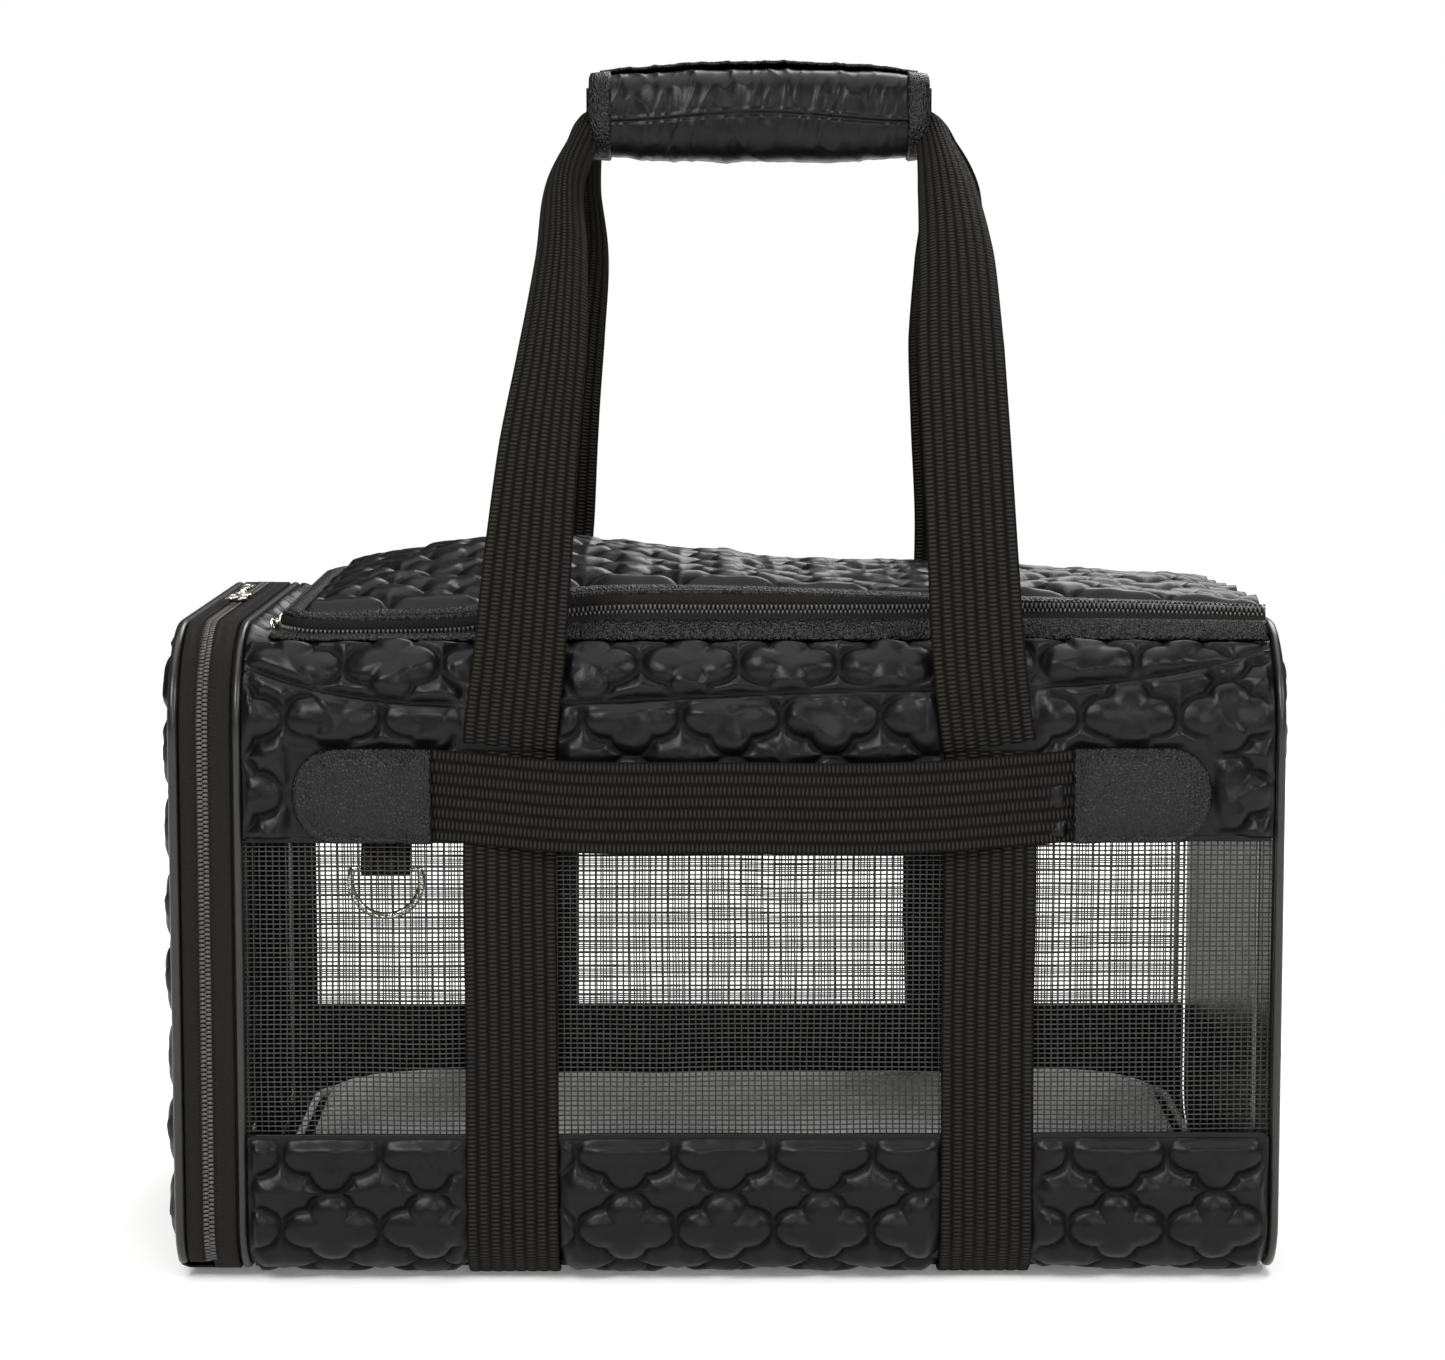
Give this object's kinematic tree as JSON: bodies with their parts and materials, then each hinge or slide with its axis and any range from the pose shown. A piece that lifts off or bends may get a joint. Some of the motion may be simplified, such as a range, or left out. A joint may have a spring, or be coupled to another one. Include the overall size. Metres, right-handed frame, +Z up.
{
  "type": "soft pet carrier",
  "caption": "Soft-sided pet carrier with quilted walls, mesh windows, a zip-around end door, a fold-back top flap, webbing straps and a wrapped carry handle.",
  "frame": {"origin": "on the floor under the centre of the bounding box", "axes": "+X along the carrier from the door end to the pocket end, -Y the front face, +Z up"},
  "size_m": [0.4654, 0.292, 0.5105],
  "materials": {
    "quilted_satin": "quilted satin nylon, soft sheen",
    "window_mesh": "coated open mesh",
    "webbing": "ribbed nylon webbing, matt",
    "zip_tape": "twill tape with nylon coil",
    "piping_vinyl": "glossy piping cord",
    "grained_vinyl": "pebbled grain, satin",
    "nickel": "bright nickel",
    "spring_steel": "drawn wire",
    "pad_fabric": "smooth brushed fabric",
    "base_board": "pressed board"
  },
  "bodies": {
    "carrier": {"base_panel": "quilted_satin", "lower_band_front": "quilted_satin", "lower_band_back": "quilted_satin", "mesh_window_front": "window_mesh", "mesh_window_back": "window_mesh", "upper_band_front": "quilted_satin", "upper_band_back": "quilted_satin", "top_strip_left": "quilted_satin", "zip_band_carrier_side": "zip_tape", "piping_door_ring": "piping_vinyl", "piping_pocket_end": "piping_vinyl", "spring_wire_door_end": "spring_steel", "spring_wire_pocket_end": "spring_steel", "pocket_end_panel": "quilted_satin", "pocket_panel": "quilted_satin", "pocket_zip": "zip_tape", "base_board": "base_board", "floor_pad": "pad_fabric", "strap_front_left": "webbing", "strap_back_left": "webbing", "strap_under_left": "webbing", "strap_front_right": "webbing", "strap_back_right": "webbing", "strap_under_right": "webbing", "belt_strap_front": "webbing", "belt_patch_front_left": "grained_vinyl", "belt_patch_front_right": "grained_vinyl", "belt_strap_back": "webbing", "belt_patch_back_left": "grained_vinyl", "belt_patch_back_right": "grained_vinyl", "handle_leg_front_left": "webbing", "handle_leg_back_left": "webbing", "handle_leg_front_right": "webbing", "handle_leg_back_right": "webbing", "tether_tab": "webbing", "door_sill": "zip_tape", "flap_inner": "quilted_satin", "flap_zip_inner_front": "zip_tape", "flap_zip_inner_back": "zip_tape", "flap_zip_carrier_side": "zip_tape"},
    "door": {"door_zip_band": "zip_tape", "door_piping": "piping_vinyl", "door_border": "quilted_satin", "door_mesh": "window_mesh"},
    "flap": {"flap_outer": "quilted_satin", "flap_zip_outer": "zip_tape"},
    "handle": {"grip_wrap": "quilted_satin", "grip_binding_left": "grained_vinyl", "grip_binding_right": "grained_vinyl", "grip_webbing": "webbing"},
    "grip_flap": {"grip_flap": "quilted_satin"},
    "tether_ring": {"tether_ring": "nickel"},
    "door_front_slider": {"door_front_slider": "nickel"},
    "door_front_pull": {"door_front_pull": "nickel"},
    "door_rear_slider": {"door_rear_slider": "nickel"},
    "door_rear_pull": {"door_rear_pull": "nickel"},
    "flap_slider": {"flap_slider": "nickel"},
    "flap_pull": {"flap_pull": "nickel"},
    "pocket_slider": {"pocket_slider": "nickel"},
    "pocket_pull": {"pocket_pull": "nickel"}
  },
  "joints": [
    {"name": "door_fold", "type": "hinge", "parent": "carrier", "child": "door", "pos_m": [-0.222, 0, 0.008], "axis": [0, -1, 0], "range_deg": [0, 85]},
    {"name": "flap_fold", "type": "hinge", "parent": "carrier", "child": "flap", "pos_m": [-0.005, 0, 0.2775], "axis": [0, 1, 0], "range_deg": [0, 165]},
    {"name": "handle_sag", "type": "slide", "parent": "carrier", "child": "handle", "axis": [0, 0, 1], "range_m": [-0.09, 0], "deforming": ["handle_leg_front_left", "handle_leg_back_left", "handle_leg_front_right", "handle_leg_back_right"]},
    {"name": "grip_flap_lift", "type": "hinge", "parent": "handle", "child": "grip_flap", "pos_m": [0.014, -0.0006, 0.508], "axis": [-1, 0, 0], "range_deg": [0, 100]},
    {"name": "tether_ring_swing", "type": "hinge", "parent": "carrier", "child": "tether_ring", "pos_m": [-0.1405, -0.1306, 0.173], "axis": [1, 0, 0], "range_deg": [0, 75]},
    {"name": "door_front_slider_travel", "type": "slide", "parent": "carrier", "child": "door_front_slider", "axis": [0, -1, 0], "range_m": [0, 0.07]},
    {"name": "door_rear_slider_travel", "type": "slide", "parent": "carrier", "child": "door_rear_slider", "axis": [0, 1, 0], "range_m": [0, 0.07]},
    {"name": "flap_slider_travel", "type": "slide", "parent": "carrier", "child": "flap_slider", "axis": [0, 1, 0], "range_m": [0, 0.164]},
    {"name": "pocket_slider_travel", "type": "slide", "parent": "carrier", "child": "pocket_slider", "axis": [0, 1, 0], "range_m": [0, 0.176]},
    {"name": "door_front_pull_swing", "type": "hinge", "parent": "door_front_slider", "child": "door_front_pull", "pos_m": [-0.2143, -0.009, 0.2756], "axis": [-1, 0, 0], "range_deg": [0, 100]},
    {"name": "door_rear_pull_swing", "type": "hinge", "parent": "door_rear_slider", "child": "door_rear_pull", "pos_m": [-0.2143, 0.009, 0.2756], "axis": [1, 0, 0], "range_deg": [0, 100]},
    {"name": "flap_pull_swing", "type": "hinge", "parent": "flap_slider", "child": "flap_pull", "pos_m": [-0.1896, -0.082, 0.2698], "axis": [0, 0, -1], "range_deg": [0, 24]},
    {"name": "pocket_pull_swing", "type": "hinge", "parent": "pocket_slider", "child": "pocket_pull", "pos_m": [0.2316, -0.088, 0.207], "axis": [0, -1, 0], "range_deg": [0, 90]}
  ]
}
